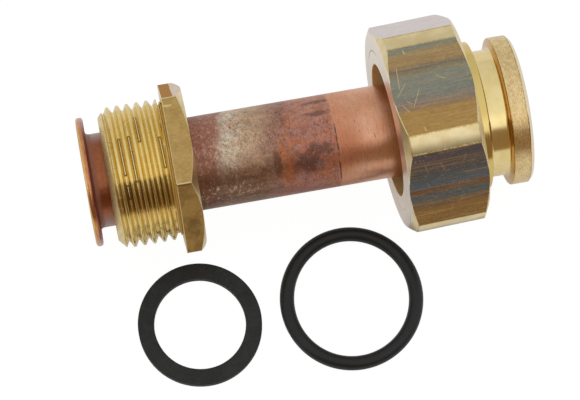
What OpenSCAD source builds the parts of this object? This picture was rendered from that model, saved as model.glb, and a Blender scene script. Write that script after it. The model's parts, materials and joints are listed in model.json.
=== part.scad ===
// Flanged copper connection pipe with two loose brass nuts and two loose seals.
// The pipe lies along +X on its nuts. The origin is the centre of the flange's sealing face.

/* [Copper tube] */
// Outside diameter of the tube
tube_od = 22; // [21:0.1:22]
// Wall thickness of the tube
tube_wall = 1; // [0.8:0.1:1.5]
// Diameter of the flange that is turned up on the tube's end
flange_d = 30.4; // [28:0.1:31]
// Thickness of the flange
flange_t = 1.6; // [1.2:0.1:2]
// Radius of the bend between the flange's back and the tube
flange_fillet = 1; // [0.4:0.1:1.2]

/* [Male nut] */
// Major diameter of the external G1 thread
male_thread_d = 33.25; // [32.8:0.05:33.5]
// Length of the threaded barrel in front of the hexagon
male_barrel_len = 15.1; // [12:0.1:18]
// Distance of the barrel's front end from the sealing face
male_nut_x = 5.2; // [4:0.1:12]
// Radius of the barrel's front edge, where its lead-in chamfer starts
male_lead_r = 14.5; // [13.4:0.1:15]
// Length of the lead-in chamfer
male_lead_len = 1.9; // [1:0.1:2.5]
// Diameter of the undercut between thread and hexagon
male_undercut_d = 30.3; // [29:0.1:31.5]
// Length of the undercut
male_undercut_len = 0.9; // [0.8:0.1:2]
// Size of the hexagon across its flats
male_hex_af = 36.7; // [36:0.1:38]
// Thickness of the hexagon
male_hex_t = 5; // [4:0.1:7]
// Radial clearance of the nut on the tube
male_bore_clearance = 0.4; // [0.4:0.05:0.6]
// Height of the tube's axis above the nut's, within that clearance
tube_lift = 0.3; // [0:0.05:0.3]

/* [Union nut] */
// Size of the hexagon across its flats
union_hex_af = 45.8; // [45:0.1:47]
// Diameter to which the hexagon's corners are turned
union_corner_d = 50.4; // [49.5:0.1:51.5]
// Overall length of the nut
union_nut_len = 18.6; // [17:0.1:19.4]
// Distance of the nut's middle from the sealing face
union_nut_x = 80.4; // [70:0.1:80.4]
// Sideways place of the nut's axis
union_nut_y = -1.1; // [-1.1:0.1:0]
// Angle to which the loose nut has turned on the table
union_nut_yaw = 2; // [0:0.1:2]
// Thickness of the lip that pulls on the spigot
union_lip_t = 3.2; // [2.5:0.1:4]
// Least clearance between the lip and the tube
union_lip_clearance = 0.1; // [0.1:0.05:0.3]
// Minor diameter of the internal G1 1/4 thread
union_thread_minor_d = 38.95; // [38.8:0.05:39.1]
// Major diameter of the internal thread, to which its ends open
union_thread_major_d = 41.9; // [41.5:0.1:42.2]
// Length of the runout groove behind the thread
union_runout_len = 2.5; // [2:0.1:3.5]

/* [Spigot] */
// Distance of the spigot's shoulder from the sealing face
spigot_x = 90.5; // [90.5:0.1:95]
// Diameter of the spigot's two lands
spigot_d = 35; // [34:0.1:36]
// Thickness of the shoulder that the union nut pulls on
shoulder_t = 2.5; // [2:0.1:4]
// Diameter at the bottom of the ring groove
groove_d = 29.9; // [28:0.1:30.5]
// Width of the ring groove at its mouth
groove_w = 5.1; // [4:0.1:6]
// Distance by which either wall of the groove leans outwards
groove_flare = 0.4; // [0.1:0.1:0.5]
// Thickness of the end land, with its chamfer
end_land_t = 4.8; // [3.8:0.1:6]
// Chamfer that leads the O-ring into its fitting
end_chamfer = 0.8; // [0.2:0.1:1.2]
// Depth of the socket that holds the tube
socket_depth = 9; // [6:0.1:10]
// Edge break of the shoulder
land_edge = 0.4; // [0.2:0.1:0.6]
// Leg of the solder fillet between shoulder and tube
solder_leg = 1.2; // [0.6:0.1:1.6]

/* [Seals] */
// Outside diameter of the flat gasket
gasket_od = 29.5; // [28:0.5:31]
// Inside diameter of the flat gasket
gasket_id = 22; // [20:0.5:24]
// Thickness of the flat gasket
gasket_t = 2; // [1.5:0.5:3]
// Place of the gasket along the tube
gasket_x = 20.6; // [15:0.1:24]
// Place of the gasket in front of the tube
gasket_y = -33.6; // [-50:0.1:-33]
// Inside diameter of the O-ring
o_ring_id = 27.7; // [26:0.1:30]
// Section diameter of the O-ring
o_ring_cs = 3.4; // [2.5:0.1:4]
// Place of the O-ring along the tube
o_ring_x = 56.9; // [52:0.1:60]
// Place of the O-ring in front of the tube
o_ring_y = -33.9; // [-50:0.1:-33]

/* [Hidden] */
$fn = 96;

tube_r = tube_od / 2;
bore_r = tube_r - tube_wall;
flange_r = flange_d / 2;

// Both nuts and both seals rest on a table at this height
table_z = -male_hex_af / 2 - tube_lift;

chamfer_angle = 30;
male_thread_r = male_thread_d / 2;
male_nut_len = male_barrel_len + male_hex_t;
male_corner_r = male_hex_af / 2 / cos(30);
male_bore_r = tube_r + male_bore_clearance;
// The countersink lets the nut seat on the flange's back, past the bend
male_countersink = flange_fillet + 0.2;

// The larger hexagon lies on a flat too, so its axis is above the tube's
union_rise = union_hex_af / 2 + table_z;
union_front_x = -union_nut_len / 2;
union_back_x = union_nut_len / 2;
union_lip_x = union_front_x + union_lip_t;
union_lip_offset = abs(union_nut_y) - union_front_x * sin(union_nut_yaw);
union_lip_r = tube_r + norm([union_rise, union_lip_offset]) + union_lip_clearance;
union_minor_r = union_thread_minor_d / 2;
union_major_r = union_thread_major_d / 2;
union_lip_edge = 0.4;

spigot_r = spigot_d / 2;
groove_r = groove_d / 2;
groove_x = spigot_x + shoulder_t;
end_land_x = groove_x + groove_w;
pipe_end_x = end_land_x + end_land_t;
socket_end_x = spigot_x + socket_depth;
spigot_mouth_edge = 0.4;

// Turns a profile, drawn as [radius, distance along the axis], about the X axis
module lathe() {
    rotate([0, 90, 0])
        rotate_extrude()
            children();
}

// Concave corner fillet that fills the corner at [0, 0] towards +radius and +axis
module corner_fillet(leg) {
    difference() {
        square(leg);
        translate([leg, leg])
            circle(r = leg);
    }
}

// Hexagonal bar along +X, lying on a flat
module hex_bar(across_flats, x_from, x_to) {
    translate([x_from, 0, 0])
        rotate([0, 90, 0])
            rotate([0, 0, 30])
                linear_extrude(x_to - x_from)
                    circle(r = across_flats / 2 / cos(30), $fn = 6);
}

// Tool path that turns the corners of a hexagon, with a chamfer at either end if wanted.
// A chamfer starts where it just touches the flats.
module turned_outline(across_flats, corner_r, x_from, x_to, front, back) {
    flat_r = across_flats / 2;
    depth = (corner_r - flat_r) * tan(chamfer_angle);
    polygon([
        [0, x_from],
        [front ? flat_r : corner_r, x_from],
        [corner_r, front ? x_from + depth : x_from],
        [corner_r, back ? x_to - depth : x_to],
        [back ? flat_r : corner_r, x_to],
        [0, x_to]
    ]);
}

// Tube with its wall turned up into a flat sealing flange, which has a full round rim
module copper_tube() {
    rim_r = flange_r - flange_t / 2;
    color("#b5633c")
        lathe() {
            translate([bore_r, 0])
                square([tube_wall, socket_end_x]);
            translate([bore_r, 0])
                square([rim_r - bore_r, flange_t]);
            translate([rim_r, flange_t / 2])
                circle(d = flange_t);
            translate([tube_r, flange_t])
                corner_fillet(flange_fillet);
        }
}

// Brass end piece that plugs into its fitting, with a groove for the O-ring
module spigot() {
    color("#cda24b")
        lathe()
            polygon([
                [tube_r, spigot_x],
                [spigot_r - land_edge, spigot_x],
                [spigot_r, spigot_x + land_edge],
                [spigot_r, groove_x],
                [groove_r, groove_x + groove_flare],
                [groove_r, end_land_x - groove_flare],
                [spigot_r, end_land_x],
                [spigot_r, pipe_end_x - end_chamfer],
                [spigot_r - end_chamfer, pipe_end_x],
                [bore_r + spigot_mouth_edge, pipe_end_x],
                [bore_r, pipe_end_x - spigot_mouth_edge],
                [bore_r, socket_end_x],
                [tube_r, socket_end_x]
            ]);
}

// Solder that shows where the tube enters the spigot
module solder_ring() {
    color("#b8b4a8")
        lathe()
            translate([tube_r, spigot_x])
                mirror([0, 1])
                    corner_fillet(solder_leg);
}

// Loose nut with an external thread that screws into a fitting and presses the flange on its seat
module male_nut() {
    color("#c9a13f")
        translate([male_nut_x, 0, -tube_lift])
            difference() {
                union() {
                    lathe()
                        male_barrel();
                    intersection() {
                        hex_bar(male_hex_af, male_barrel_len, male_nut_len);
                        lathe()
                            turned_outline(male_hex_af, male_corner_r, male_barrel_len,
                                           male_nut_len, false, true);
                    }
                }
                lathe()
                    male_nut_bore();
            }
}

// Profile of the threaded barrel, at the thread's major diameter, with lead-in and undercut
module male_barrel() {
    undercut_r = male_undercut_d / 2;
    undercut_x = male_barrel_len - male_undercut_len;
    polygon([
        [0, 0],
        [male_lead_r, 0],
        [male_thread_r, male_lead_len],
        [male_thread_r, undercut_x],
        [undercut_r, undercut_x],
        [undercut_r, male_barrel_len],
        [0, male_barrel_len]
    ]);
}

// Profile of the space inside the male nut, with its countersink for the flange's bend
module male_nut_bore() {
    polygon([
        [0, -1],
        [male_bore_r + male_countersink, -1],
        [male_bore_r + male_countersink, 0],
        [male_bore_r, male_countersink],
        [male_bore_r, male_nut_len + 1],
        [0, male_nut_len + 1]
    ]);
}

// Loose nut whose lip draws the spigot into a fitting with an external thread
module union_nut() {
    color("#a98d55")
        translate([union_nut_x, union_nut_y, union_rise])
            rotate([0, 0, union_nut_yaw])
                difference() {
                    intersection() {
                        hex_bar(union_hex_af, union_front_x, union_back_x);
                        lathe()
                            turned_outline(union_hex_af, union_corner_d / 2, union_front_x,
                                           union_back_x, true, true);
                    }
                    lathe()
                        union_nut_bore();
                }
}

// Profile of the space inside the union nut: lip, runout groove, thread and lead-in
module union_nut_bore() {
    lead_in = union_major_r - union_minor_r;
    polygon([
        [0, union_front_x - 1],
        [union_lip_r + union_lip_edge, union_front_x - 1],
        [union_lip_r + union_lip_edge, union_front_x],
        [union_lip_r, union_front_x + union_lip_edge],
        [union_lip_r, union_lip_x],
        [union_major_r, union_lip_x],
        [union_major_r, union_lip_x + union_runout_len],
        [union_minor_r, union_lip_x + union_runout_len],
        [union_minor_r, union_back_x - lead_in],
        [union_major_r, union_back_x],
        [union_major_r, union_back_x + 1],
        [0, union_back_x + 1]
    ]);
}

// Flat seal between the flange and its seat
module flat_gasket() {
    color("#35363a")
        translate([gasket_x, gasket_y, table_z])
            rotate_extrude()
                translate([gasket_id / 2, 0])
                    square([(gasket_od - gasket_id) / 2, gasket_t]);
}

// Round seal for the spigot's groove
module o_ring() {
    color("#222225")
        translate([o_ring_x, o_ring_y, table_z + o_ring_cs / 2])
            rotate_extrude()
                translate([(o_ring_id + o_ring_cs) / 2, 0])
                    circle(d = o_ring_cs);
}

copper_tube();
spigot();
solder_ring();
male_nut();
union_nut();
flat_gasket();
o_ring();
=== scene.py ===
"""Looks of a flanged copper connection pipe with two loose nuts, a flat gasket and an O-ring.

Every piece is one closed skin. A profile, drawn in millimetres as (radius, place along the axis),
is carried round the X axis, and may change with the angle, as a hexagon or a thread does. Angles
run from +Y towards +Z, and the camera faces the side at about 1.9 radians.
"""
import json
import math

import bmesh
import bpy
from mathutils import Matrix, Vector


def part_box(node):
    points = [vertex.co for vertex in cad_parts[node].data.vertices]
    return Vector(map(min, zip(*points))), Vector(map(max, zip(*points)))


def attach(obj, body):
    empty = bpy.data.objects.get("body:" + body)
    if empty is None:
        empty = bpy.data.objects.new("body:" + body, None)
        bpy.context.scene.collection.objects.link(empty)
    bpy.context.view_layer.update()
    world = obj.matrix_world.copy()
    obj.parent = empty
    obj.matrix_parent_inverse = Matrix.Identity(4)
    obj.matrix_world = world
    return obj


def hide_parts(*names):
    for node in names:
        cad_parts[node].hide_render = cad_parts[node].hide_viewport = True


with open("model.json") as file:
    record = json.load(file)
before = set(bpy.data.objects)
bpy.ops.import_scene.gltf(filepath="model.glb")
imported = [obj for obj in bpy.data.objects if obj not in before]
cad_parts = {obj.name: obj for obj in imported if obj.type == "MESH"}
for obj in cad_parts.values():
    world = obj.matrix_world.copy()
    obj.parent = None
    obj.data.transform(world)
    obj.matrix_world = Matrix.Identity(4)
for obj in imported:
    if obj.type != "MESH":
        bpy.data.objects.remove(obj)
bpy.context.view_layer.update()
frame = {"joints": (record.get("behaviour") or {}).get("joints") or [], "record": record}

# ---------------------------------------------------------------- sizes, in millimetres
MM = 0.001
TURN = 2 * math.pi
SIXTH = math.pi / 3
UNDERNEATH = -math.pi / 2


def box_mm(node):
    """Lowest and highest corner of a CAD node, in millimetres."""
    low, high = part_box(node)
    return low / MM, high / MM


def mount_radius(name):
    """Radius of one of the record's mounts, in millimetres."""
    return next(m["dims"]["r_mm"] for m in frame["record"]["mounts"] if m["name"] == name)


_, tube_high = box_mm("copper_tube")
spigot_low, spigot_high = box_mm("spigot")
solder_low, solder_high = box_mm("solder_ring")
male_low, male_high = box_mm("male_nut")
gasket_low, gasket_high = box_mm("flat_gasket")
ring_low, ring_high = box_mm("o_ring")
union_joint = next(j for j in frame["joints"] if j["name"] == "union_nut_turn")
table_z = male_low.z

bore_r = mount_radius("flow_bore")
flange_r = tube_high.z
flange_t = 1.6
solder_leg = solder_high.x - solder_low.x
tube_r = solder_high.z - solder_leg
socket_end = tube_high.x

spigot_x = spigot_low.x
spigot_end = spigot_high.x
spigot_r = spigot_high.z
groove_r = 14.95
groove_x = spigot_x + 2.5
groove_flare = 0.4
end_land_x = groove_x + 5.1
end_chamfer = 0.8
chamfer_x = spigot_end - end_chamfer

# Both threads are of the G series, with 11 turns to the inch
thread_pitch = 2.309
thread_depth = 0.640327 * thread_pitch
male_thread_r = mount_radius("male_thread")
male_len = male_high.x - male_low.x
male_flat_r = (male_high.z - male_low.z) / 2
male_corner_r = (male_high.y - male_low.y) / 2
male_barrel_len = 15.1
male_bore_r = tube_r + 0.4
male_lead_r = 14.5
male_lead_len = 1.9
male_thread_x = 0.2
undercut_x = 14.2
undercut_r = 15.15

union_flat_r = 22.9
union_corner_r = 25.2
union_len = 18.6
union_front = -union_len / 2
union_back = union_len / 2
union_lip_r = 15.58
union_lip_x = union_front + 3.2
union_thread_x = union_lip_x + 2.5
union_major_r = 20.955
union_line_r = 18.9     # a dark line turned into the nut's face

# Place of a thread crest at the angle 0, from each nut's own start
male_crest_x = 6.97
union_crest_x = 1.2

gasket_od = gasket_high.x - gasket_low.x
gasket_id = 22
gasket_t = gasket_high.z - gasket_low.z
ring_r = (ring_high.z - ring_low.z) / 2
ring_middle_r = (ring_high.x - ring_low.x) / 2 - ring_r

# ---------------------------------------------------------------- meshes
ARC_SHARE = 0.45        # the most of a profile's side that one arc may take
LARGE_ROUNDING = 0.5    # from here on an arc gets more steps
MERGE_DISTANCE = 0.002 * MM
SLIVER_LENGTH = 0.001 * MM

# A 55 degree thread, in pitches, with its crests worn rounder than the standard's
HALF_DEPTH = 0.320164
FLANK_ANGLE = math.radians(27.5)
WORN_CREST_R = 0.19
CREST_STATIONS = (0, 0.04, 0.08, 0.125, 0.169, 0.23, 0.3, 0.36, 0.425, 0.465, 0.5, 0.535, 0.575,
                  0.64, 0.7, 0.77, 0.831, 0.875, 0.92, 0.96)


def beside(side):
    """Step along a side from the end of an arc to the point that keeps the side flat."""
    return side.normalized() * min(0.15, 0.04 * side.length)


def soften(corners, closed=True):
    """Profile of (radius, place, rounding) with an arc at each corner."""
    points = []
    for i, (r, x, rounding) in enumerate(corners):
        here = Vector((r, x))
        if rounding == 0 or (not closed and i in (0, len(corners) - 1)):
            points.append(here)
            continue
        before = Vector(corners[i - 1][:2]) - here
        after = Vector(corners[(i + 1) % len(corners)][:2]) - here
        reach = min(rounding, ARC_SHARE * before.length, ARC_SHARE * after.length)
        start = here + before.normalized() * reach
        stop = here + after.normalized() * reach
        points.append(start + beside(before))
        steps = 3 if rounding < LARGE_ROUNDING else 8
        for k in range(steps + 1):
            t = k / steps
            points.append(start.lerp(here, t).lerp(here.lerp(stop, t), t))
        points.append(stop + beside(after))
    return [(p.x, p.y) for p in points]


def thread_height(offset):
    """Height above the thread's pitch line, offset pitches away from a crest."""
    apex = HALF_DEPTH - WORN_CREST_R + WORN_CREST_R / math.sin(FLANK_ANGLE)
    root_r = (0.5 / math.tan(FLANK_ANGLE) - apex - HALF_DEPTH) / (1 / math.sin(FLANK_ANGLE) - 1)
    away = abs(offset - round(offset))
    if away < WORN_CREST_R * math.cos(FLANK_ANGLE):
        height = HALF_DEPTH - WORN_CREST_R + math.sqrt(WORN_CREST_R ** 2 - away ** 2)
    elif 0.5 - away < root_r * math.cos(FLANK_ANGLE):
        height = root_r - HALF_DEPTH - math.sqrt(root_r ** 2 - (0.5 - away) ** 2)
    else:
        height = apex - away / math.tan(FLANK_ANGLE)
    return height * thread_pitch


def thread_profile(x_from, x_to, crest_x, major_r, angle, start_angle, limit):
    """Profile of a right-hand thread at one angle, with each crest on the same rows throughout."""
    crest = crest_x + thread_pitch * start_angle / TURN
    first = math.floor((x_from - crest) / thread_pitch) - 1
    last = math.ceil((x_to - crest) / thread_pitch)
    turn = (angle - start_angle) / TURN
    places = [x_from]
    for k in range(first, last):
        for station in CREST_STATIONS:
            x = crest + thread_pitch * (k + station + turn)
            places.append(min(max(x, x_from), x_to))
    places.append(x_to)
    pitch_r = major_r - thread_depth / 2
    points = []
    for x in places:
        offset = (x - crest_x) / thread_pitch - angle / TURN
        points.append((limit(x, pitch_r + thread_height(offset)), x))
    return points


def skin(name, angles, profile, materials, slot_of=None, thread_rows=0, sharp=35):
    """Closed mesh from a closed profile at each angle, the first thread_rows of it a thread."""
    mesh = bmesh.new()
    unrolled = mesh.loops.layers.uv.new("unrolled")
    columns = [profile(a) for a in angles]
    grid = [[mesh.verts.new((x * MM, r * math.cos(a) * MM, r * math.sin(a) * MM))
             for r, x in column] for a, column in zip(angles, columns)]
    rows = len(columns[0])
    pitch_rows = len(CREST_STATIONS)

    def over_seam(i):
        """Row of the first column that row i of the last one meets, a pitch on in a thread."""
        if 0 < i < thread_rows - 1:
            return min(i + pitch_rows, thread_rows - 1)
        return i

    for j, a in enumerate(angles):
        seam = j + 1 == len(angles)
        n = 0 if seam else j + 1
        b = angles[n] + (TURN if seam else 0)
        for i in range(rows):
            k = (i + 1) % rows
            i_next, k_next = (over_seam(i), over_seam(k)) if seam else (i, k)
            corners = [(j, i, a), (j, k, a), (n, k_next, b)]
            if i_next != k_next:
                corners.append((n, i_next, b))
            face = mesh.faces.new([grid[column][row] for column, row, _ in corners])
            face.smooth = True
            for loop, (column, row, angle) in zip(face.loops, corners):
                loop[unrolled].uv = (columns[column][row][1], angle)
            if slot_of:
                face.material_index = slot_of(
                    [(*columns[column][row], angle) for column, row, angle in corners])
    bmesh.ops.remove_doubles(mesh, verts=mesh.verts, dist=MERGE_DISTANCE)
    bmesh.ops.dissolve_degenerate(mesh, edges=mesh.edges, dist=SLIVER_LENGTH)
    bmesh.ops.recalc_face_normals(mesh, faces=mesh.faces)
    data = bpy.data.meshes.new(name)
    mesh.to_mesh(data)
    mesh.free()
    data.set_sharp_from_angle(angle=math.radians(sharp))
    for material in materials:
        data.materials.append(material)
    piece = bpy.data.objects.new(name, data)
    bpy.context.scene.collection.objects.link(piece)
    return piece


def even_angles(count):
    """Angles round a plain turned piece, with the seam of its unrolled surface underneath."""
    return [UNDERNEATH + TURN * i / count for i in range(count)]


class Hexagon:
    """Outline of a hexagon that lies on a flat, with its corners turned to corner_r."""

    def __init__(self, flat_r, corner_r, flat_steps, corner_steps):
        self.flat_r = flat_r
        self.corner_r = corner_r
        self.reach = math.acos(flat_r / corner_r)
        flat_width = 2 * self.reach
        corner_width = SIXTH - flat_width
        self.angles = []
        for side in range(6):
            start = UNDERNEATH + side * SIXTH - self.reach
            corner = start + flat_width
            self.angles += [start + flat_width * i / flat_steps for i in range(flat_steps)]
            self.angles += [corner + corner_width * i / corner_steps for i in range(corner_steps)]

    def off_middle(self, angle):
        """Angle from the middle of the nearest flat."""
        return (angle - UNDERNEATH + SIXTH / 2) % SIXTH - SIXTH / 2

    def radius(self, angle):
        return min(self.flat_r / math.cos(self.off_middle(angle)), self.corner_r)

    def chamfer(self, angle):
        """Length of a 30 degree end chamfer that starts where it just touches the flats."""
        return (self.radius(angle) - self.flat_r) * math.tan(math.radians(30))

    def on_flat(self, corners):
        """Whether a face, given as (radius, place, angle) for each corner, is part of a flat."""
        middle = (corners[0][2] + corners[-1][2]) / 2
        if abs(self.off_middle(middle)) > self.reach:
            return False
        return all(abs(r - self.radius(angle)) < 0.01 for r, _, angle in corners)


def wave(angle, *terms):
    """Sum of sines round the axis, each given as (height, count, phase)."""
    return sum(height * math.sin(count * angle + phase) for height, count, phase in terms)


# ---------------------------------------------------------------- shader graphs
def linear(code):
    """Linear colour of an sRGB code such as #c09f54."""
    values = [int(code[i:i + 2], 16) / 255 for i in (1, 3, 5)]
    return tuple(v / 12.92 if v <= 0.04045 else ((v + 0.055) / 1.055) ** 2.4
                 for v in values) + (1.0,)


class Field:
    """A number, vector, colour or shader that changes over a surface: an output of a node."""

    def __init__(self, graph, socket):
        self.graph = graph
        self.socket = socket

    def __add__(self, other):
        return self.graph.calc("ADD", self, other)

    def __sub__(self, other):
        return self.graph.calc("SUBTRACT", self, other)

    def __rsub__(self, other):
        return self.graph.calc("SUBTRACT", other, self)

    def __mul__(self, other):
        return self.graph.calc("MULTIPLY", self, other)

    def __truediv__(self, other):
        return self.graph.calc("DIVIDE", self, other)

    __radd__ = __add__
    __rmul__ = __mul__

    def __abs__(self):
        return self.graph.calc("ABSOLUTE", self)

    def parts(self):
        """The three numbers of a vector."""
        split = self.graph.node("ShaderNodeSeparateXYZ", {"Vector": self})
        return [Field(self.graph, split.outputs[axis]) for axis in "XYZ"]


class Graph:
    """The nodes of a material or a world, written as expressions."""

    def __init__(self, owner):
        owner.use_nodes = True
        self.tree = owner.node_tree
        self.tree.nodes.clear()

    def node(self, kind, inputs, **settings):
        made = self.tree.nodes.new(kind)
        for key, value in settings.items():
            setattr(made, key, value)
        for key, value in inputs.items():
            self.put(made.inputs[key], value)
        return made

    def field(self, kind, inputs, output=0, **settings):
        """One output of a new node."""
        return Field(self, self.node(kind, inputs, **settings).outputs[output])

    def put(self, socket, value):
        if isinstance(value, Field):
            self.tree.links.new(value.socket, socket)
        elif isinstance(value, str):
            socket.default_value = linear(value)
        else:
            socket.default_value = value

    def calc(self, operation, *values):
        return self.field("ShaderNodeMath", dict(enumerate(values)), operation=operation)

    def either(self, first, second):
        """The larger of two masks."""
        return self.calc("MAXIMUM", first, second)

    def vector(self, operation, *values, scale=None):
        inputs = dict(enumerate(values))
        if scale is not None:
            inputs["Scale"] = scale
        return self.field("ShaderNodeVectorMath", inputs, operation=operation)

    def join(self, x, y, z=0.0):
        return self.field("ShaderNodeCombineXYZ", {"X": x, "Y": y, "Z": z})

    def step(self, value, low, high):
        """0 at low and 1 at high, with a soft way between them, in either order."""
        return self.field("ShaderNodeMapRange",
                          {"Value": value, "From Min": low, "From Max": high},
                          "Result", interpolation_type="SMOOTHSTEP")

    def window(self, value, start, full, full_end, end):
        """0 up to start, 1 from full to full_end, and 0 again from end."""
        return self.step(value, start, full) * self.step(value, end, full_end)

    def mix(self, mask, first, second):
        """first where mask is 0 and second where it is 1."""
        return self.field("ShaderNodeMix", {0: mask, 6: first, 7: second}, 2, data_type="RGBA")

    def shade(self, colour, factor):
        return self.vector("SCALE", colour, scale=factor)

    def ramp(self, value, low, high, stops):
        """Colours, or greys given as numbers, at places between low and high."""
        made = self.node("ShaderNodeValToRGB", {0: (value - low) / (high - low)})
        elements = made.color_ramp.elements
        while len(elements) < len(stops):
            elements.new(0.5)
        for element, (place, tint) in zip(elements, stops):
            element.position = (place - low) / (high - low)
            element.color = linear(tint) if isinstance(tint, str) else (tint, tint, tint, 1)
        return Field(self, made.outputs[0])


class Surface(Graph):
    """Material of a piece. Lengths in it are in millimetres."""

    def __init__(self, name):
        self.material = bpy.data.materials.new(name)
        super().__init__(self.material)
        place = self.field("ShaderNodeTexCoord", {}, "Object")
        self.place = self.vector("SCALE", place, scale=1 / MM)
        self.x, self.y, self.z = self.place.parts()
        layer = self.field("ShaderNodeUVMap", {}, "UV", uv_map="unrolled")
        self.along, self.angle, _ = layer.parts()

    def from_axis(self):
        return self.calc("SQRT", self.y * self.y + self.z * self.z)

    def noise(self, size, detail, stretch=(1, 1, 1), seed=0.0, where=None):
        """Cloudy noise from 0 to 1, with features of that size drawn out by stretch."""
        scaled = self.vector("DIVIDE", where or self.place, stretch)
        inputs = {"Vector": scaled, "W": seed, "Scale": 1 / size, "Detail": detail}
        return self.field("ShaderNodeTexNoise", inputs, "Fac", noise_dimensions="4D")

    def spots(self, size, detail, low, high, **options):
        """Noise cut into spots: 0 where it is at low and 1 where it is at high."""
        return self.step(self.noise(size, detail, **options), low, high)

    def shift(self, size, detail, seed, width):
        """Noise as a shift to either side, within width."""
        return (self.noise(size, detail, seed=seed) - 0.5) * width

    def patch(self, radius, place, degrees, half_length, half_width, ragged, size,
              seed=0.0, soft=0.15):
        """1 inside a ragged spot of the unrolled surface, at that place and angle."""
        u = (self.along - place) / half_length
        v = (self.angle - math.radians(degrees)) * radius / half_width
        away = self.calc("SQRT", u * u + v * v)
        return self.step(away + self.shift(size, 4, seed, 2 * ragged), 1 + soft, 1 - soft)

    def scratches(self, radius, cell, length, width, share, seed, turn=math.pi, lean=0.0):
        """Straight marks, at most one in each cell, within turn of the direction lean."""
        flat = self.join(self.along / cell + seed, self.angle * radius / cell)
        cells = self.node("ShaderNodeTexVoronoi", {"Vector": flat, "Scale": 1.0},
                          voronoi_dimensions="2D")
        centre = Field(self, cells.outputs["Position"])
        chance, swing, size = Field(self, cells.outputs["Color"]).parts()
        local = self.vector("SCALE", self.vector("SUBTRACT", flat, centre), scale=cell)
        turned_way = lean + (swing - 0.5) * turn
        away, across, _ = self.field("ShaderNodeVectorRotate",
                                     {"Vector": local, "Angle": turned_way},
                                     rotation_type="Z_AXIS").parts()
        reach = (0.4 + 0.6 * size) * length / 2
        line = self.step(abs(across), width, width * 0.3) * self.step(abs(away) / reach, 1.0, 0.6)
        return line * self.calc("LESS_THAN", chance, share)

    def stroke(self, u, v, start, stop, width):
        """1 along a scratch between two points of the plane of u and v, fading at its ends."""
        length = math.dist(start, stop)
        du = (stop[0] - start[0]) / length
        dv = (stop[1] - start[1]) / length
        away = (u - start[0]) * du + (v - start[1]) * dv
        across = (u - start[0]) * dv - (v - start[1]) * du
        line = self.step(abs(across), width, width * 0.4)
        return line * self.step(abs(away / length - 0.5), 0.5, 0.36)

    def flat_side(self):
        """Number of the hexagon's flat, from 0 underneath, and the angle from its middle."""
        from_below = self.angle - UNDERNEATH
        side = self.calc("FLOOR", (from_below + SIXTH / 2) / SIXTH)
        return side, from_below - side * SIXTH

    def side_kinds(self, side):
        """Masks of the photo's lower flat and of its top one, each with the flat opposite."""
        kind = self.calc("MODULO", side, 3)
        return self.window(kind, 0.6, 0.9, 1.1, 1.4), self.step(kind, 1.6, 1.9)

    def finish(self, colour, metallic, roughness, height, **uniform):
        bump = {"Height": height, "Distance": MM, "Strength": 1.0}
        shader = self.node("ShaderNodeBsdfPrincipled", {
            "Base Color": colour, "Metallic": metallic, "Roughness": roughness,
            "Normal": self.field("ShaderNodeBump", bump, "Normal")})
        for key, value in uniform.items():
            shader.inputs[key.replace("_", " ")].default_value = value
        self.node("ShaderNodeOutputMaterial", {"Surface": Field(self, shader.outputs[0])})
        return self.material


# ---------------------------------------------------------------- materials
SCALE_EDGE = 58.5   # place along the tube where the brown scale ends and clean copper begins
AGED_TINTS = [
    (5, "#84543e"), (12, "#87523e"), (25, "#8d5f4f"), (30.2, "#976a58"), (32.2, "#b9a792"),
    (35.5, "#b7a086"), (40, "#ab8e74"), (43.4, "#957260"), (45.2, "#8f6a5a"), (46.8, "#a06a50"),
    (48.8, "#a06b56"), (50.5, "#9e6e5e"), (57.5, "#a86f59")]
# Dark stains on the scale: place, degrees, half length, half width, seed
STAINS = ((51.2, 131, 3.2, 2.6, 8.0), (54.2, 117, 3.0, 1.4, 8.5), (55.4, 51, 2.8, 0.8, 9.0),
          (55.4, 72, 2.8, 0.7, 9.5), (44.2, 130, 0.9, 3.6, 9.8))
FLANGE_TINTS = [
    (0.1, "#bd9c6e"), (0.28, "#cc9d60"), (0.42, "#96643e"), (0.55, "#bd8850"), (0.68, "#a86c4e"),
    (0.84, "#844a50"), (0.95, "#945c4e")]


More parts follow.
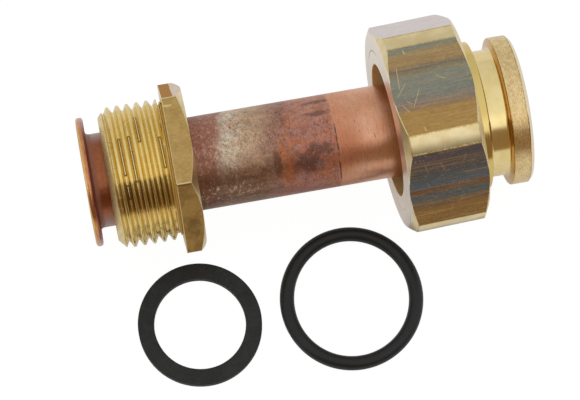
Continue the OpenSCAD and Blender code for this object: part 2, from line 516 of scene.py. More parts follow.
def aged_copper():
    """Copper tube: mottled brown and beige scale left of a sharp edge, bright metal right of it."""
    g = Surface("aged_copper")
    clouds = g.noise(5, 4)
    mottle = g.noise(1.1, 5, seed=2.0)
    grain = g.noise(0.34, 4, stretch=(1, 1.7, 1.7), seed=3.0)
    fine = g.noise(0.2, 2, stretch=(1, 2.5, 2.5), seed=4.0)
    around = g.noise(0.16, 2, stretch=(1, 25, 25), seed=5.0)
    radius = g.from_axis()
    below = g.window(g.angle, *map(math.radians, (98, 138, 200, 230)))

    # The aged part, coloured by its place along the tube, with borders that lean and waver
    leaning = g.x + (g.angle - 1.75) * 1.6 + (clouds - 0.5) * 4 + (mottle - 0.5) * 2.2
    aged = g.ramp(leaning, 0, 64, AGED_TINTS)
    aged = g.mix(below * g.step(leaning, 45, 42) * 0.85, aged, "#6f4f3c")
    worn = g.spots(1.5, 6, 0.49, 0.6, seed=6.0) * g.window(leaning, 31, 33, 35, 37) * (1 - below)
    aged = g.mix(worn * 0.65, aged, "#cfc5b2")
    tan = g.spots(1.3, 4, 0.5, 0.62, stretch=(3, 1, 1), seed=25.0)
    tan = tan * g.window(leaning, 33, 35, 42, 46) * (1 - below * 0.6)
    aged = g.mix(tan * 0.45, aged, "#b99a78")
    rusty = g.spots(1.7, 6, 0.46, 0.66, stretch=(1.6, 1, 1), seed=26.0) * g.step(leaning, 42, 48)
    aged = g.mix(rusty * 0.75, aged, "#ad6a4a")
    grey = g.spots(1.9, 6, 0.44, 0.62, seed=27.0) * g.step(leaning, 43, 47) * (1 - rusty)
    aged = g.mix(grey * 0.65, aged, "#9a7a76")
    lit = g.step(g.angle, 1.6, 1.2) * g.step(leaning, 46, 50)
    aged = g.mix(lit * 0.4, aged, "#c28f78")
    flame = g.either(g.patch(tube_r, 46.2, 124, 2.0, 4.0, 1.0, 2.4, 28.0, 0.5),
                     g.patch(tube_r, 47.0, 148, 1.6, 2.4, 1.0, 2.2, 29.0, 0.4))
    aged = g.mix(flame * 0.65, aged, "#a8663a")
    bloom = g.step(grain * 0.5 + mottle * 0.5, 0.53, 0.62) * g.step(g.x, 46, 32)
    low_side = g.window(g.angle, *map(math.radians, (141, 147, 158, 165)))
    aged = g.mix(bloom * (0.3 + 0.7 * low_side) * 0.65, aged, "#d8c2a4")
    dark = g.spots(2.2, 5, 0.54, 0.66, seed=7.0) * 0.4
    for place, degrees, half_length, half_width, seed in STAINS:
        stain = g.patch(tube_r, place, degrees, half_length, half_width, 1.0, 1.6, seed, 0.45)
        dark = g.either(dark, stain)
    aged = g.mix(dark * (0.45 + 0.4 * mottle), aged, "#4c342e")
    ochre = g.patch(tube_r, 54.6, 65, 0.7, 0.35, 0.6, 0.5, 10.0)
    aged = g.mix(ochre * 0.7, aged, "#b98a4e")
    aged = g.shade(aged, 0.06 + 0.7 * mottle + 0.8 * grain + 0.5 * fine)
    aged = g.mix(g.spots(0.6, 3, 0.55, 0.64, seed=30.0) * 0.35, aged, "#a85a40")
    pits = g.spots(0.33, 3, 0.43, 0.34, stretch=(1, 1.6, 1.6), seed=11.0)
    aged = g.mix(pits * 0.6, aged, "#4a302a")
    hairs = g.either(g.scratches(tube_r, 1.5, 1.5, 0.075, 0.75, seed=4.1),
                     g.scratches(tube_r, 2.3, 2.6, 0.07, 0.5, seed=7.7))
    aged = g.mix(hairs * 0.55, aged, "#42302b")
    glints = g.scratches(tube_r, 1.9, 1.1, 0.08, 0.5, seed=9.3, turn=1.2, lean=1.5)
    aged = g.mix(glints * 0.35, aged, "#d9c2b0")
    red_fleck = g.patch(tube_r, 34.8, 71, 0.3, 0.4, 0.3, 0.4)
    aged = g.mix(red_fleck, aged, "#c8502a")

    clean = g.mix(g.step(clouds, 0.35, 0.65), "#d6a487", "#cf9676")
    warm = g.step(g.x, 63, SCALE_EDGE) * g.step(mottle, 0.35, 0.6)
    clean = g.mix(warm * 0.5, clean, "#c98763")
    # A darker, redder patch of clean copper beside the scale: partly the copper's own tone, partly
    # painted shade that dims the highlight there.
    redder_shaded_patch = g.patch(tube_r, 60.5, 118, 4.2, 6.0, 0.6, 3.0, 32.0, 0.7)
    clean = g.mix(redder_shaded_patch * 0.6, clean, "#b4704e")
    clean = g.shade(clean, 0.62 + 0.4 * around + 0.18 * fine + 0.2 * mottle)
    turning = g.scratches(tube_r, 1.7, 2.4, 0.06, 0.6, seed=1.3, turn=0.12, lean=math.pi / 2)
    nicks = g.scratches(tube_r, 3.1, 1.3, 0.1, 0.3, seed=5.3, turn=1.6, lean=0.9)
    specks = g.spots(0.3, 2, 0.36, 0.3, seed=31.0)
    clean = g.mix(turning * 0.6, clean, "#8a4f3a")
    clean = g.mix(nicks * 0.7, clean, "#5f3325")
    clean = g.mix(specks * 0.6, clean, "#7a4734")

    ragged = g.shift(2.4, 4, 17.0, 0.8)
    is_clean = g.step(g.x + ragged * 1.6, SCALE_EDGE - 0.7, SCALE_EDGE + 0.4)
    edge_line = g.step(abs(g.x + ragged * 0.5 - SCALE_EDGE), 0.26, 0.1)
    edge_line = edge_line * g.spots(1.6, 3, 0.4, 0.52, seed=19.0)
    edge_line = edge_line * g.step(g.calc("COSINE", g.angle - 2.28), 0.7, 0.85)
    colour = g.mix(is_clean, aged, clean)
    colour = g.mix(edge_line * 0.75, colour, "#4a3530")

    on_flange = g.step(radius, 12.2, 13.2) * g.step(g.x, 4, 3)
    rim = g.noise(0.2, 3, stretch=(1, 26, 26), seed=23.0)
    across_rim = g.x / flange_t + (rim - 0.5) * 1.1 + g.shift(3, 2, 24.0, 0.4)
    flange = g.ramp(across_rim, 0, 1, FLANGE_TINTS)
    far = g.step(abs(g.angle - 1.9), 0.8, 1.3)
    flange = g.mix(far * 0.6, flange, "#b08a80")
    flange = g.shade(flange, 0.64 + 0.9 * rim + 0.44 * mottle)
    colour = g.mix(on_flange, colour, flange)
    fold_painted_light = g.window(g.x, flange_t - 0.35, flange_t - 0.1, 2.4, 3.2) * g.step(radius, 14.9, 14.4)
    stub = g.step(g.x, 7, 6) * (1 - on_flange)
    stub_colour = g.mix(g.step(abs(g.angle - 1.85), 0.75, 1.15), "#90573c", "#947872")
    stub_colour = g.mix(g.step(mottle, 0.45, 0.6) * 0.3, stub_colour, "#a8653c")
    stub_colour = g.shade(stub_colour, 0.72 + 0.24 * around + 0.34 * mottle)
    colour = g.mix(stub, colour, stub_colour)
    inside = g.step(radius, bore_r + 0.6, bore_r + 0.3)
    colour = g.mix(inside * 0.8, colour, "#7b4a37")

    scaly = (1 - is_clean) * (1 - on_flange) * (1 - stub)
    # Painted light: the crease behind the flange is painted lighter, and made rougher and less
    # metallic, so that it shows no dark line.
    colour = g.mix(fold_painted_light * 0.6, colour, "#a06a54")
    colour = g.shade(colour, 1 + 0.09 * scaly + 0.05 * is_clean * (1 - stub))
    metallic = 1 - scaly * (0.3 + 0.25 * worn) - fold_painted_light * 0.55
    near_scale = is_clean * g.step(g.x, 68, 59)
    roughness = 0.3 + scaly * 0.13 + (mottle - 0.5) * 0.1 - on_flange * 0.04
    roughness = roughness + near_scale * 0.16 + fold_painted_light * 0.2
    height = scaly * (mottle * 0.03 + grain * 0.03 - pits * 0.01) + around * 0.0018 + fine * 0.002
    height = height - (nicks + hairs * scaly) * 0.012
    return g.finish(colour, metallic, roughness, height)


# Dark-edged slits in the thread: number of the root, from and to, in degrees
ROOT_SLITS = ((-2, 75, 109), (-1, 74, 116), (0, 50, 81), (2, 80, 108), (-2, 118, 130))


def thread_brass():
    """Yellow brass of the thread, with a thin pale line in each root and slits in some of them."""
    g = Surface("thread_brass")
    phase = (g.along - male_crest_x) / thread_pitch - g.angle / TURN
    root_number = g.calc("FLOOR", phase)
    from_root = abs(phase - root_number - 0.5) * thread_pitch
    threaded = g.window(g.along, 1.4, 2.2, undercut_x - 0.3, undercut_x)
    soft = g.noise(2.5, 3)
    fine = g.noise(0.25, 3, seed=2.0)
    lines = g.noise(0.12, 2, stretch=(1, 50, 50), seed=4.0)
    colour = g.mix(g.step(soft, 0.35, 0.65), "#ebd38e", "#e3c87c")
    pale_line = g.step(from_root, 0.14, 0.06)
    pale_line = pale_line * g.spots(1.2, 3, 0.36, 0.5, stretch=(1, 3, 3), seed=5.0)
    colour = g.mix(pale_line * threaded * 0.6, colour, "#f3e6c2")
    # Painted light: the flanks are paler towards the roots, offsetting the deep gold of light
    # bouncing between them.
    colour = g.mix(g.step(from_root, 0.9, 0.35) * threaded * 0.45, colour, "#fbebb8")

    slits = g.spots(1.0, 1, 0.62, 0.64, seed=6.0, where=g.join(g.angle * 2.2, root_number * 3.7))
    slits = slits * g.step(abs(g.angle - 1.75), 1.3, 1.4)
    slit_ends = 0.0
    for number, start, stop in ROOT_SLITS:
        middle = math.radians(start + stop) / 2
        reach = math.radians(stop - start) / 2
        here = g.calc("COMPARE", root_number, number, 0.5)
        off = abs(g.angle - middle)
        slits = g.either(slits, here * g.step(off, reach + 0.01, reach - 0.01))
        slit_ends = g.either(slit_ends, here * g.step(abs(off - reach), 0.02, 0.006))
    slit_edges = g.either(g.step(abs(from_root - 0.14), 0.075, 0.02) * slits,
                          g.step(from_root, 0.2, 0.12) * slit_ends) * threaded
    colour = g.mix(slit_edges * 0.8, colour, "#5e340e")

    dots = g.spots(0.5, 2, 0.66, 0.72, seed=9.0) * g.step(from_root, 0.3, 0.15)
    low_edge = g.step(abs(g.angle - 2.9), 0.35, 0.2) * g.spots(0.7, 2, 0.64, 0.7, seed=10.0)
    colour = g.mix(g.either(dots * 0.8, low_edge) * 0.8, colour, "#54391a")
    lead = g.step(g.along, 2.1, 1.5)
    colour = g.mix(lead * 0.5, colour, "#e9d9ae")
    dull = lead * g.step(abs(g.angle - 2.0), 0.8, 0.3)
    colour = g.mix(dull * 0.2, colour, "#a8935a")
    colour = g.mix(lead * g.spots(0.35, 3, 0.42, 0.34, seed=12.0) * 0.6, colour, "#7a6432")
    # Painted reflection: a dark brown band across the lower front flanks, standing for the dark
    # opening that the thread reflects there.
    painted_dark_reflection = g.step(abs(g.angle - 2.24 + (soft - 0.5) * 0.1), 0.27, 0.2)
    painted_dark_reflection = painted_dark_reflection * threaded * g.step(from_root, 0.1, 0.25)
    colour = g.mix(painted_dark_reflection * 0.45, colour, "#5f4218")
    # Painted light: the undercut is painted pale gold, and made rougher and less metallic, to lift
    # the shade between its ridge and the hexagon.
    undercut = g.step(g.along, undercut_x - 0.1, undercut_x + 0.15)
    colour = g.mix(undercut * 0.8, colour, "#f2d588")
    chips = g.either(g.patch(male_thread_r, 2.1, 127, 0.3, 0.3, 0.7, 0.4, 21.0),
                     g.patch(male_thread_r, 2.2, 138, 0.25, 0.45, 0.7, 0.4, 22.0))
    colour = g.mix(chips * 0.9, colour, "#fff3d2")
    colour = g.shade(colour, 0.81 + 0.16 * fine + 0.12 * lines)
    roughness = 0.17 + 0.06 * soft + 0.06 * fine + lead * 0.12 + undercut * 0.25
    return g.finish(colour, 1 - 0.2 * undercut, roughness, lines * 0.0015 + fine * 0.0015)


def drawn_brass():
    """Flats of the male nut's hexagon, drawn lengthways and slightly tarnished."""
    g = Surface("drawn_brass")
    side, off = g.flat_side()
    is_lower, is_top = g.side_kinds(side)
    lines = g.noise(0.15, 3, stretch=(24, 1, 1))
    grain = g.noise(0.32, 3, stretch=(2, 1, 1), seed=2.0)
    broad = g.noise(2.6, 4, seed=3.0)
    colour = g.mix(g.step(broad, 0.35, 0.65), "#b7985f", "#ac8e54")
    lower = g.mix(g.step(broad, 0.4, 0.6), "#a5844d", "#937342")
    colour = g.mix(is_lower, colour, lower)
    pale_end = g.step(g.along + (broad - 0.5) * 0.6, 17.6, 17.9) * is_top
    colour = g.mix(is_top, colour, g.mix(pale_end, "#a8804e", "#dac6b6"))
    rub = g.patch(male_flat_r, 16.0, 65, 1.1, 0.25, 1.1, 0.7, 9.0)
    colour = g.mix(rub * 0.6, colour, "#e2cf96")
    smudge = g.patch(male_flat_r, 17.6, 158, 1.6, 2.6, 1.2, 1.4, 7.0)
    colour = g.mix(smudge * 0.4, colour, "#665232")
    edge = g.step(abs(off) * male_flat_r + g.shift(0.7, 3, 5.0, 1.0), 10.1, 10.7)
    colour = g.mix(edge * 0.7, colour, "#e2d09a")
    colour = g.shade(colour, 0.52 + 0.36 * lines + 0.6 * grain)
    pits = g.spots(0.45, 2, 0.69, 0.75, seed=8.0)
    colour = g.mix(pits * 0.45, colour, "#6b5428")
    height = lines * 0.006 + grain * 0.003 - pits * 0.01
    return g.finish(colour, 1 - 0.8 * pale_end, 0.3 + 0.14 * broad, height,
                    Specular_Tint=(0.85, 0.62, 0.38, 1))


def turned_brass():
    """Freshly turned brass: chamfers, end faces, turned corners and the union nut's inside."""
    g = Surface("turned_brass")
    radius = g.from_axis()
    rings = g.noise(0.13, 2, stretch=(1, 40, 40))
    faces = g.noise(0.13, 2, seed=2.0, where=g.join(radius, g.x * 0.02, g.angle * 0.3))
    soft = g.noise(3.5, 3, seed=4.0)
    speckle = g.noise(0.28, 3, seed=5.0)
    colour = g.mix(g.step(soft, 0.35, 0.65), "#e6d5a8", "#dac794")

    # The union nut's turned corners, with a burnt edge and, below, a torn one
    _, off = g.flat_side()
    corner = g.step(abs(off), 0.4, 0.43)
    corner = corner * g.step(radius, union_corner_r - 0.3, union_corner_r - 0.1)
    burnt = g.step(abs(off) * union_corner_r + g.shift(0.5, 3, 6.0, 1.0), 11.4, 10.9) * corner
    colour = g.mix(burnt * 0.7, colour, "#b08c3a")
    face = g.step(g.x, union_front + 0.3, union_front + 0.1)
    colour = g.mix(face * 0.85, colour, "#ece4d8")
    over_corner = g.calc("WRAP", off, SIXTH, 0.0)
    front = g.step(g.angle, 1.3, 1.9)
    # Painted shade: the lower part of each turned corner is painted darker, most on the front.
    lower = g.step(over_corner, 0.5, 0.61) * corner
    shade = 0.84 + 0.1 * rings + 0.1 * faces + 0.12 * speckle
    colour = g.shade(colour, shade * (1 - lower * (0.08 + 0.38 * front)))
    torn = g.step(over_corner * union_corner_r + g.shift(0.35, 3, 7.0, 0.7), 15.1, 15.3) * corner
    torn_colour = g.mix(g.step(speckle, 0.45, 0.55), "#b8923a", "#efe3b0")
    colour = g.mix(torn * (0.35 + 0.65 * front) * 0.7, colour, torn_colour)

    face_line = g.step(abs(radius - union_line_r), 0.2, 0.08) * face
    face_line = face_line * (0.25 + 0.75 * g.step(abs(g.angle - 0.35), 0.5, 0.3))
    colour = g.mix(face_line * 0.8, colour, "#3c342c")
    # Painted light: the bore inside the lip is painted pale, and made rough and less metallic, so
    # that it looks lit.
    bore = g.window(radius, 14.0, 14.5, union_lip_r + 0.07, union_lip_r + 0.32)
    colour = g.mix(bore, colour, "#e2c98c")
    marks = g.scratches(union_corner_r, 5.0, 3.0, 0.06, 0.35, seed=2.2)
    colour = g.mix(marks * 0.6, colour, "#f3e9c9")
    height = rings * 0.0016 + faces * 0.0016 + speckle * 0.0025
    return g.finish(colour, 1 - 0.8 * bore, 0.24 + 0.12 * soft + 0.3 * bore, height)


# Heat bands of the union nut's flats, by the millimetres from the middle of the flat
BAND_REACH = 10.8
MIDDLE_TINTS = [
    (-10.4, "#7f8579"), (-9.5, "#84806c"), (-8.8, "#9e8660"), (-6.4, "#9a815a"),
    (-5.3, "#82735a"), (-4.9, "#6c6e66"), (-4.5, "#85745a"), (-3.6, "#82806e"),
    (-2.0, "#7e8276"), (1.2, "#7c7e72"), (3.0, "#80776c"), (4.2, "#8c765f"), (5.4, "#a0804e"),
    (10.3, "#a5854f")]
LOWER_TINTS = [
    (-10.3, "#5c5250"), (-9.2, "#5a5150"), (-7.0, "#62554c"), (-4.6, "#5a5552"),
    (-3.2, "#55595a"), (-0.6, "#5c6063"), (0.1, "#6b5444"), (0.9, "#75583f"), (1.5, "#5f5c56"),
    (3.4, "#5c5f5e"), (4.3, "#84643a"), (4.8, "#66564c"), (5.8, "#86663c"), (10.2, "#8a6b3f")]
# Scratches on the photo's middle flat: from and to, as (place along the nut, across), and width
MIDDLE_FLAT = 3.0
STROKES = (((-6.9, -6.4), (-7.4, -0.6), 0.11), ((-8.2, 1.0), (-5.6, -2.2), 0.08),
           ((-5.4, 4.4), (-2.9, -0.3), 0.09), ((-7.6, 3.1), (-6.2, 5.2), 0.1),
           ((-6.5, 2.2), (-5.3, 3.3), 0.07), ((1.2, -2.6), (3.4, -1.2), 0.09),
           ((-4.6, -9.9), (-4.3, -8.8), 0.22), ((-4.0, 9.0), (-3.8, 10.2), 0.2))


def tinted_brass():
    """Flats of the union nut, with bands of bronze, grey-blue and purple left by heat."""
    g = Surface("tinted_brass")
    side, off = g.flat_side()
    is_lower, is_top = g.side_kinds(side)
    flat = g.calc("TANGENT", off) * union_flat_r
    wavy = (g.noise(1.6, 3, stretch=(6, 1, 1)) - 0.5) * 1.5
    wavy = wavy + (g.noise(0.5, 2, stretch=(12, 1, 1), seed=2.0) - 0.5) * 0.9
    middle, lower = (g.ramp(flat + wavy, -BAND_REACH, BAND_REACH, tints)
                     for tints in (MIDDLE_TINTS, LOWER_TINTS))
    top = g.mix(g.noise(2, 3, seed=3.0), "#d6cccb", "#c6bcb8")
    colour = g.mix(is_lower, middle, lower)
    colour = g.mix(is_top, colour, top)
    lines = g.noise(0.18, 3, stretch=(40, 1, 1), seed=5.0)
    grain = g.noise(0.34, 3, stretch=(2.4, 1, 1), seed=6.0)
    broad = g.noise(2.2, 4, stretch=(3, 1, 1), seed=7.0)
    below_top = g.step(g.calc("MODULO", side, 3), 1.6, 1.4)
    streaks = g.spots(0.28, 2, 0.56, 0.66, stretch=(60, 1, 1), seed=8.0) * below_top
    colour = g.mix(streaks * 0.45, colour, "#b08a58")
    freckles = g.spots(0.26, 2, 0.58, 0.66, seed=11.0) * g.spots(3.5, 3, 0.4, 0.6, seed=12.0)
    colour = g.mix(freckles * below_top * 0.42, colour, "#c6a068")
    colour = g.shade(colour, 0.28 + 0.66 * lines + 0.26 * broad + 0.64 * grain)
    scuffs = g.spots(0.45, 3, 0.66, 0.72, seed=9.0) * g.spots(4, 2, 0.45, 0.6, seed=10.0)
    colour = g.mix(scuffs * 0.55, colour, "#c7ab7c")
    marks = g.scratches(union_flat_r, 4.6, 3.0, 0.07, 0.35, seed=3.3, turn=2.4, lean=1.3) * 0.5
    on_middle = g.calc("COMPARE", side, MIDDLE_FLAT, 0.5)
    for start, stop, width in STROKES:
        marks = g.either(marks, g.stroke(g.along, flat, start, stop, width) * on_middle)
    colour = g.mix(marks * 0.85, colour, "#cdb083")
    height = lines * 0.004 + grain * 0.002 - marks * 0.01
    return g.finish(colour, 1.0, 0.27 + 0.12 * broad, height)


def spigot_brass():
    """Bright turned brass of the spigot, with a sand-like skin on the end land."""
    g = Surface("spigot_brass")
    radius = g.from_axis()
    rings = g.noise(0.12, 2, stretch=(1, 60, 60))
    soft = g.noise(3, 3, seed=2.0)
    colour = g.mix(g.step(soft, 0.35, 0.65), "#ebd69c", "#e4ce8c")
    shoulder = g.step(g.x, groove_x + 0.05, groove_x - 0.05)
    colour = g.mix(shoulder * 0.7, colour, "#d2b765")
    # Painted shade: the groove's walls are painted a deeper, darker gold, standing for light
    # bouncing between walls and floor.
    groove_walls_painted_shade = g.step(abs(g.x - (groove_x + end_land_x) / 2), 2.1, 2.3)
    groove_walls_painted_shade = groove_walls_painted_shade * g.window(radius, 14.96, 15.1, 17.4, 17.48)
    groove_walls_painted_shade = groove_walls_painted_shade * g.step(g.x, end_land_x + 0.3, end_land_x + 0.1)
    colour = g.mix(groove_walls_painted_shade, colour, "#c8952a")

    land = g.window(g.x, end_land_x, end_land_x + 0.3, chamfer_x - 0.15, chamfer_x)
    land = land * g.step(radius, 17.3, 17.42)
    crust = g.noise(0.24, 3, stretch=(1, 1.8, 1.8), seed=4.0)
    blotch = g.shift(1.6, 4, 5.0, 0.5)
    crust_colour = g.mix(g.step(crust + blotch, 0.34, 0.68), "#e6d09c", "#cdac76")
    colour = g.mix(land, colour, crust_colour)
    pits = g.spots(0.4, 3, 0.66, 0.71, seed=6.0) * land
    colour = g.mix(pits * 0.55, colour, "#94703f")
    fringe = g.step(g.x, chamfer_x - 0.35, chamfer_x - 0.1) * land * g.step(crust, 0.38, 0.46)
    colour = g.mix(fringe * 0.75, colour, "#7c5530")
    end_ring = g.step(g.x, chamfer_x + 0.02, chamfer_x + 0.14)
    colour = g.mix(end_ring * 0.75, colour, "#ece0cf")
    inside = g.step(radius, bore_r + 0.6, bore_r + 0.3)
    colour = g.mix(inside * 0.6, colour, "#8f6a35")
    colour = g.shade(colour, 0.93 + 0.14 * rings)
    roughness = 0.13 + 0.05 * soft + land * 0.15
    return g.finish(colour, 1.0, roughness, rings * 0.0008 + land * crust * 0.012)


def solder_metal():
    """Dull grey solder with a yellowish flux stain."""
    g = Surface("solder_metal")
    soft = g.noise(1.2, 4)
    colour = g.mix(g.step(soft, 0.4, 0.65), "#b9b6ae", "#9a8f76")
    return g.finish(colour, 0.9, 0.35 + 0.2 * soft, soft * 0.05)


def gasket_fibre():
    """Charcoal fibre board, mottled, with fine pale specks."""
    g = Surface("gasket_fibre")
    soft = g.noise(4, 4)
    fine = g.noise(0.22, 4, seed=2.0)
    mottle = g.noise(0.9, 4, seed=6.0)
    specks = g.spots(0.4, 2, 0.66, 0.74, seed=4.0)
    colour = g.mix(g.step(soft, 0.35, 0.7), "#202221", "#292b29")
    colour = g.shade(colour, 0.2 + 0.4 * fine + 1.2 * mottle)
    colour = g.mix(specks * 0.35, colour, "#6f716a")
    height = fine * 0.02 + soft * 0.02
    return g.finish(colour, 0.0, 0.72 - 0.1 * fine, height, Specular_IOR_Level=0.35)


def ring_rubber():
    """Satin black rubber with a little dust."""
    g = Surface("ring_rubber")
    soft = g.noise(5, 3)
    fine = g.noise(0.3, 3, seed=2.0)
    dust = g.spots(0.4, 2, 0.73, 0.78, seed=5.0)
    colour = g.mix(g.step(soft, 0.35, 0.7), "#151717", "#1b1d1d")
    colour = g.mix(dust * 0.5, colour, "#7a7064")
    return g.finish(colour, 0.0, 0.36 + 0.1 * fine, fine * 0.004, Specular_IOR_Level=0.33)


# ---------------------------------------------------------------- pieces
male_hexagon = Hexagon(male_flat_r, male_corner_r - 0.1, flat_steps=40, corner_steps=6)
union_hexagon = Hexagon(union_flat_r, union_corner_r, flat_steps=38, corner_steps=10)


def tube_profile(angle):
    """Tube wall with its flange, which was turned up by hand and is a little uneven."""
    rim_r = flange_r + wave(angle, (0.03, 2, 0.4), (0.02, 5, 1.0)) - 0.05
    face_x = 0.03 + wave(angle, (0.02, 3, 2.0), (0.01, 7, 0.5))
    back_x = flange_t + wave(angle, (0.05, 2, 1.3), (0.03, 5, 0.2))
    return soften([
        (tube_r, back_x, 1.0),
        (tube_r, socket_end, 0.1),
        (bore_r, socket_end, 0.1),
        (bore_r, face_x, 0.8),
        (rim_r, face_x, 0.78),
        (rim_r, back_x, 0.78),
    ])


def spigot_profile(angle):
    """Turned end piece: shoulder, groove with leaning walls, end land and bore."""
    return soften([
        (tube_r, spigot_x, 0.05),
        (spigot_r, spigot_x, 0.35),
        (spigot_r, groove_x, 0.2),
        (groove_r, groove_x + groove_flare, 0.3),
        (groove_r, end_land_x - groove_flare, 0.3),
        (spigot_r, end_land_x, 0.25),
        (spigot_r, chamfer_x, 0.2),
        (spigot_r - end_chamfer, spigot_end, 0.2),
        (bore_r, spigot_end, 0.4),
        (bore_r, socket_end, 0.05),
        (tube_r, socket_end, 0.05),
    ])


def solder_profile(angle):
    """Concave bead that runs a little further along the tube in some places."""
    leg = solder_leg - 0.15 + wave(angle, (0.08, 3, 0.3), (0.05, 7, 1.9))
    return soften([
        (tube_r, spigot_x - leg, 0.05),
        (tube_r + 0.3 * leg, spigot_x - 0.3 * leg, 0.4),
        (tube_r + leg, spigot_x, 0.05),
        (tube_r, spigot_x, 0.02),
    ])


def male_limit(x, r):
    """The outer thread, cut back by the lead-in chamfer and, at its other end, by the undercut."""
    lead = male_lead_r + (male_thread_r - male_lead_r) * x / male_lead_len
    runout = undercut_r + (undercut_x - x) * 8
    return max(min(r, lead, runout), min(male_lead_r, lead))


def male_thread(angle):
    return thread_profile(male_thread_x, undercut_x, male_crest_x, male_thread_r, angle,
                          male_hexagon.angles[0], male_limit)


def male_nut_profile(angle):
    """Outer thread, undercut with a rough ridge, hexagon, and a countersunk bore."""
    outer = male_hexagon.radius(angle)
    chamfer = male_hexagon.chamfer(angle)
    ridge_r = undercut_r + 0.6 + wave(angle, (0.08, 2, 0.5), (0.05, 5, 0))
    rest = soften([
        (undercut_r, undercut_x + 0.05, 0),
        (undercut_r, undercut_x + 0.3, 0.1),
        (ridge_r, undercut_x + 0.5, 0.1),
        (ridge_r - 0.1, undercut_x + 0.7, 0.1),
        (undercut_r + 0.2, male_barrel_len, 0.05),
        (outer, male_barrel_len, 0.12),
        (outer, male_len - chamfer, 0.1),
        (male_flat_r, male_len, 0.1),
        (male_bore_r, male_len, 0.3),
        (male_bore_r, 1.2, 0.3),
        (male_bore_r + 1.2, 0, 0.1),
        (male_lead_r, 0, 0),
    ], closed=False)
    return male_thread(angle) + rest


def male_slot(corners):
    """0 on the thread, 1 on the flats, 2 on what else was turned."""
    if male_hexagon.on_flat(corners):
        return 1
    on_head = min(x for _, x, _ in corners) > male_barrel_len - 0.01
    return 2 if on_head else 0


def union_limit(x, r):
    """The inner thread, opened by the lead-in at the nut's mouth."""
    return max(r, union_major_r - (union_back - x))


def union_thread(angle):
    return thread_profile(union_thread_x, union_back - 0.02, union_crest_x, union_major_r, angle,
                          union_hexagon.angles[0], union_limit)


def union_nut_profile(angle):
    """Inner thread, hexagon with chamfered ends, lip, and the thread's runout groove."""
    outer = union_hexagon.radius(angle)
    chamfer = union_hexagon.chamfer(angle)
    rest = soften([
        (union_major_r, union_back, 0),
        (union_flat_r, union_back, 0.1),
        (outer, union_back - chamfer, 0.12),
        (outer, union_front + chamfer, 0.12),
        (union_flat_r, union_front, 0.1),
        (union_lip_r, union_front, 0.15),
        (union_lip_r, union_lip_x, 0.1),
        (union_major_r, union_lip_x, 0.2),
        (union_major_r, union_thread_x, 0),
    ], closed=False)
    return union_thread(angle) + rest


def union_slot(corners):
    """1 on the flats, 0 on what was turned."""
    return 1 if union_hexagon.on_flat(corners) else 0


def gasket_profile(angle):
    """Flat seal, pressed a little oval and with a slightly smaller hole, as in the photo."""
    oval = wave(angle, (0.15, 2, 1.1), (0.012, 5, 2.0))
    outer = gasket_od / 2 + oval
    inner = gasket_id / 2 - 0.08 + oval
    return soften([
        (outer, 0, 0.12),
        (outer, gasket_t, 0.2),
        (inner, gasket_t, 0.15),
        (inner, 0, 0.1),
    ])


def ring_profile(angle):
    """Round section with a faint mould line outside and inside, on a ring that lies oval."""
    middle = ring_middle_r + 0.03 + wave(angle, (0.3, 2, 1.92), (0.03, 3, 1.0))
    steps = 32
    points = []
    for i in range(steps):
        a = TURN * i / steps
        flash = 0.02 if i % (steps // 2) == 0 else 0
        points.append((middle + (ring_r + flash) * math.cos(a), ring_r * math.sin(a)))
    return points


pipe_place = Matrix.Identity(4)
male_place = Matrix.Translation((male_low.x * MM, 0, (male_low.z + male_high.z) / 2 * MM))
union_axis = Vector(union_joint["axis"])
union_place = (Matrix.Translation(union_joint["pos_m"])
               @ Matrix.Rotation(math.atan2(union_axis.y, union_axis.x), 4, "Z"))
upright = Matrix.Rotation(-math.pi / 2, 4, "Y")
gasket_middle = (gasket_low + gasket_high) / 2 * MM
gasket_place = Matrix.Translation((gasket_middle.x, gasket_middle.y, table_z * MM)) @ upright
ring_place = Matrix.Translation((ring_low + ring_high) / 2 * MM) @ upright

turned = turned_brass()
male_thread_rows = len(male_thread(male_hexagon.angles[0]))
union_thread_rows = len(union_thread(union_hexagon.angles[0]))

pieces = [
    (skin("flanged_tube", even_angles(180), tube_profile, [aged_copper()]),
     pipe_place, "pipe", "copper_tube", "copper"),
    (skin("grooved_spigot", even_angles(180), spigot_profile, [spigot_brass()]),
     pipe_place, "pipe", "spigot", "polished_brass"),
    (skin("solder_bead", even_angles(120), solder_profile, [solder_metal()], sharp=60),
     pipe_place, "pipe", "solder_ring", "solder"),
    (skin("threaded_nut", male_hexagon.angles, male_nut_profile,
          [thread_brass(), drawn_brass(), turned], male_slot, male_thread_rows),
     male_place, "male_nut", "male_nut", "thread_brass"),
    (skin("loose_union_nut", union_hexagon.angles, union_nut_profile,
          [turned, tinted_brass()], union_slot, union_thread_rows, sharp=22),
     union_place, "union_nut", "union_nut", "tinted_brass"),
    (skin("fibre_gasket", even_angles(144), gasket_profile, [gasket_fibre()]),
     gasket_place, "flat_gasket", "flat_gasket", "gasket_fibre"),
    (skin("rubber_ring", even_angles(144), ring_profile, [ring_rubber()], sharp=60),
     ring_place, "o_ring", "o_ring", "rubber"),
]
for piece, place, body, node, slot in pieces:
    piece.matrix_world = place
    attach(piece, body)
    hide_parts(node)

# ---------------------------------------------------------------- table, light and camera
# In metres. The table's near edge comes 0.44 m in front of the pipe
TABLE_RADIUS = 6.0
TABLE_MIDDLE = (0.05, 5.56)


def table_material():
    """White table that the camera sees almost evenly lit, and the metal less so, with shadows."""
    material = bpy.data.materials.new("white_table")
    g = Graph(material)
    to_camera = g.field("ShaderNodeLightPath", {}, "Is Camera Ray")
    to_metal = g.field("ShaderNodeLightPath", {}, "Is Glossy Ray")
    matt = g.field("ShaderNodeBsdfDiffuse", {"Color": (0.9, 0.9, 0.9, 1)})
    glow = g.field("ShaderNodeEmission", {"Strength": 1.05})
    glowing = to_camera * 0.92 + to_metal * 0.34
    choice = g.field("ShaderNodeMixShader", {0: glowing, 1: matt, 2: glow})
    g.node("ShaderNodeOutputMaterial", {"Surface": choice})
    return material


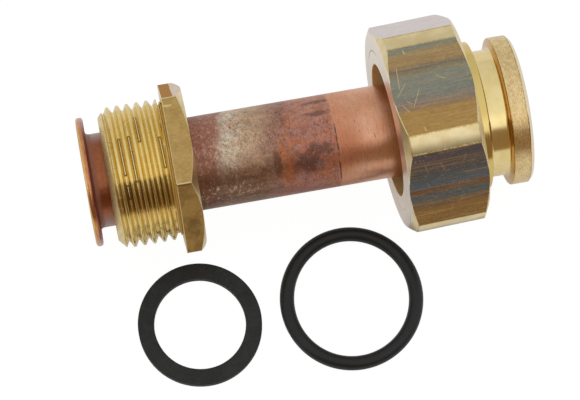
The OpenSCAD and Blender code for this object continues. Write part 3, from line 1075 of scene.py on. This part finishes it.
def table():
    """Round white table, far wider than the view."""
    mesh = bmesh.new()
    bmesh.ops.create_circle(mesh, cap_ends=True, segments=96, radius=TABLE_RADIUS)
    data = bpy.data.meshes.new("table")
    mesh.to_mesh(data)
    mesh.free()
    data.materials.append(table_material())
    made = bpy.data.objects.new("table", data)
    made.location = (*TABLE_MIDDLE, table_z * MM)
    bpy.context.scene.collection.objects.link(made)
    return made


def studio_world():
    """White studio, darker behind the pipe and brightest high in front, with a dark opening."""
    world = bpy.data.worlds.new("studio")
    g = Graph(world)
    x, y, z = g.field("ShaderNodeTexCoord", {}, "Generated").parts()
    towards_viewer = y * -1.0 / g.calc("SQRT", x * x + y * y)
    # Half turns from the horizon behind the pipe, over the zenith, to the one in front and below
    rise = g.calc("WRAP", g.calc("ARCTAN2", z, y) / math.pi, 1.5, -0.5)
    sky = g.ramp(rise, 0, 1, [
        (0.0, 0.74), (0.2, 0.8), (0.42, 0.92), (0.6, 1.0), (0.68, 1.25), (0.8, 1.25), (1.0, 1.0)])
    slanted = rise - x * 0.4 * g.step(abs(x), 0.45, 0.2)
    opening = g.step(slanted, 0.706, 0.716) * g.step(towards_viewer, 0.0, 0.4)
    lit = g.field("ShaderNodeBackground", {"Color": g.mix(opening, sky, (0.3, 0.2, 0.12, 1))})
    white = g.field("ShaderNodeBackground", {"Color": (1, 1, 1, 1)})
    to_camera = g.field("ShaderNodeLightPath", {}, "Is Camera Ray")
    choice = g.field("ShaderNodeMixShader", {0: to_camera, 1: lit, 2: white})
    g.node("ShaderNodeOutputWorld", {"Surface": choice})
    bpy.context.scene.world = world


def photo_camera():
    """Camera above and in front of the pipe, turned and rolled as the photograph is."""
    data = bpy.data.cameras.new("photo_camera")
    data.sensor_width = 36
    data.lens = 148.97
    data.clip_start = 0.01
    camera = bpy.data.objects.new("photo_camera", data)
    place = Vector((9.85, -187.68, 528.24)) * MM
    pan, tilt, roll = (math.radians(a) for a in (-11.659, 18.68, 1.167))
    camera.matrix_world = (Matrix.Translation(place) @ Matrix.Rotation(pan, 4, "Z")
                           @ Matrix.Rotation(tilt, 4, "X") @ Matrix.Rotation(roll, 4, "Z"))
    bpy.context.scene.collection.objects.link(camera)
    bpy.context.scene.camera = camera


table()
studio_world()
photo_camera()
bpy.context.scene.view_settings.view_transform = "Standard"
